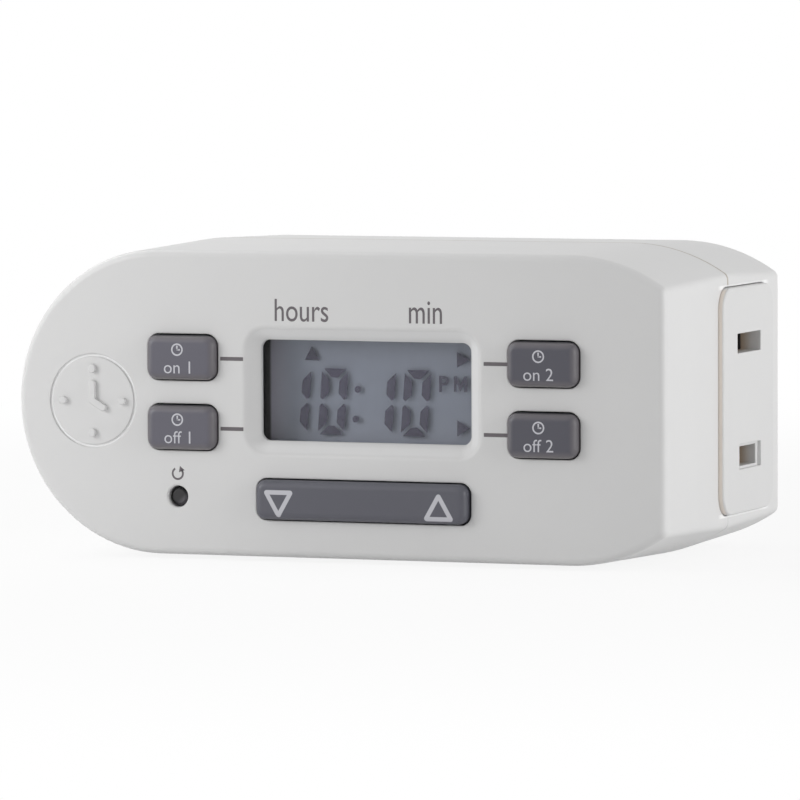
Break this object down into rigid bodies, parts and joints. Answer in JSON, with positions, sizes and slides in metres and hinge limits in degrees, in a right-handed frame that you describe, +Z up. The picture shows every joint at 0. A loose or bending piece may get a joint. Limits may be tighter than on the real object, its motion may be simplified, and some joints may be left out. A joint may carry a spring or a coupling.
{
  "type": "plug-in timer",
  "caption": "Bar-shaped plug-in digital timer with a half-round end, a display, pressable keys, a rocker bar, a side outlet and plug blades on its back.",
  "frame": {"origin": "middle of the plug on the back face, which lies against the building's wall", "axes": "+Y out of the back face along the plug blades, +X along the bar towards the outlet end, +Z up"},
  "size_m": [0.0782, 0.0572, 0.035],
  "materials": {
    "white_plastic": "fine satin texture",
    "panel_plastic": "fine satin texture",
    "key_plastic": "satin, slightly crowned",
    "clear_window": "clear polished pane",
    "display_glass": "glass with printed electrodes",
    "display_reflector": "grey-blue reflective film",
    "holder_plastic": "moulded",
    "strip_rubber": "layered elastomer",
    "switch_plastic": "moulded",
    "plunger_plastic": "moulded",
    "board_laminate": "solder mask",
    "chip_epoxy": "moulded epoxy",
    "can_metal": "satin metal",
    "ribbon_vinyl": "grey vinyl",
    "relay_case": "moulded case",
    "capacitor_box": "moulded box",
    "capacitor_sleeve": "shrunk sleeve",
    "varistor_coat": "dipped coating",
    "fuse_tube": "sleeved tube",
    "resistor_coat": "lacquer",
    "carrier_plastic": "black flame retardant moulding",
    "contact_brass": "sprung strip",
    "blade_nickel": "nickel plated",
    "zinc_steel": "zinc plated"
  },
  "bodies": {
    "housing": {"front_housing": "white_plastic", "rear_housing": "white_plastic", "housing_screws": "zinc_steel", "outlet_faceplate": "panel_plastic", "contact_carrier": "carrier_plastic", "neutral_contact": "contact_brass", "line_contact": "contact_brass", "neutral_blade": "blade_nickel", "line_blade": "blade_nickel", "blade_retainer": "carrier_plastic", "key_switches": "switch_plastic", "display_window": "clear_window", "lcd_front_glass": "display_glass", "lcd_rear_glass": "display_glass", "lcd_reflector": "display_reflector", "contact_strip": "strip_rubber", "lcd_holder": "holder_plastic", "control_board": "board_laminate", "board_screws": "zinc_steel", "controller_chip": "chip_epoxy", "crystal": "can_metal", "backup_cell": "can_metal", "cell_tabs": "can_metal", "link_cable": "ribbon_vinyl", "power_board": "board_laminate", "power_board_screws": "zinc_steel", "relay": "relay_case", "line_capacitor": "capacitor_box", "reservoir_capacitor": "capacitor_sleeve", "filter_capacitor": "capacitor_sleeve", "varistor": "varistor_coat", "fuse": "fuse_tube", "bridge_rectifier": "chip_epoxy", "voltage_regulator": "chip_epoxy", "relay_transistor": "chip_epoxy", "resistors": "resistor_coat"},
    "on_key_1_body": {"on_key_1": "key_plastic", "on_plunger_1": "plunger_plastic"},
    "off_key_1_body": {"off_key_1": "key_plastic", "off_plunger_1": "plunger_plastic"},
    "on_key_2_body": {"on_key_2": "key_plastic", "on_plunger_2": "plunger_plastic"},
    "off_key_2_body": {"off_key_2": "key_plastic", "off_plunger_2": "plunger_plastic"},
    "rocker_body": {"adjust_rocker": "key_plastic"},
    "down_switch_body": {"down_plunger": "plunger_plastic"},
    "up_switch_body": {"up_plunger": "plunger_plastic"},
    "reset_body": {"reset_pin": "key_plastic", "reset_plunger": "plunger_plastic"}
  },
  "joints": [
    {"name": "on_key_1_press", "type": "slide", "parent": "housing", "child": "on_key_1_body", "axis": [0, 1, 0], "range_m": [0, 0.0003], "stiffness_N_per_m": 1500, "springref_m": -0.0001},
    {"name": "off_key_1_press", "type": "slide", "parent": "housing", "child": "off_key_1_body", "axis": [0, 1, 0], "range_m": [0, 0.0003], "stiffness_N_per_m": 1500, "springref_m": -0.0001},
    {"name": "on_key_2_press", "type": "slide", "parent": "housing", "child": "on_key_2_body", "axis": [0, 1, 0], "range_m": [0, 0.0003], "stiffness_N_per_m": 1500, "springref_m": -0.0001},
    {"name": "off_key_2_press", "type": "slide", "parent": "housing", "child": "off_key_2_body", "axis": [0, 1, 0], "range_m": [0, 0.0003], "stiffness_N_per_m": 1500, "springref_m": -0.0001},
    {"name": "rocker_tilt", "type": "hinge", "parent": "housing", "child": "rocker_body", "pos_m": [0.0086, -0.0348, -0.01055], "axis": [0, 0, 1], "range_deg": [-1.9, 1.9], "stiffness_Nm_per_rad": 0.25},
    {"name": "down_switch_press", "type": "slide", "parent": "housing", "child": "down_switch_body", "axis": [0, 1, 0], "range_m": [-0.00035, 0.00035]},
    {"name": "up_switch_press", "type": "slide", "parent": "housing", "child": "up_switch_body", "axis": [0, 1, 0], "range_m": [-0.00035, 0.00035]},
    {"name": "reset_press", "type": "slide", "parent": "housing", "child": "reset_body", "axis": [0, 1, 0], "range_m": [0, 0.0003], "stiffness_N_per_m": 1500, "springref_m": -0.0001}
  ],
  "couplings": [
    {"joint": "down_switch_press", "follows": "rocker_tilt", "m_per_rad": -0.009},
    {"joint": "up_switch_press", "follows": "rocker_tilt", "m_per_rad": 0.009}
  ]
}
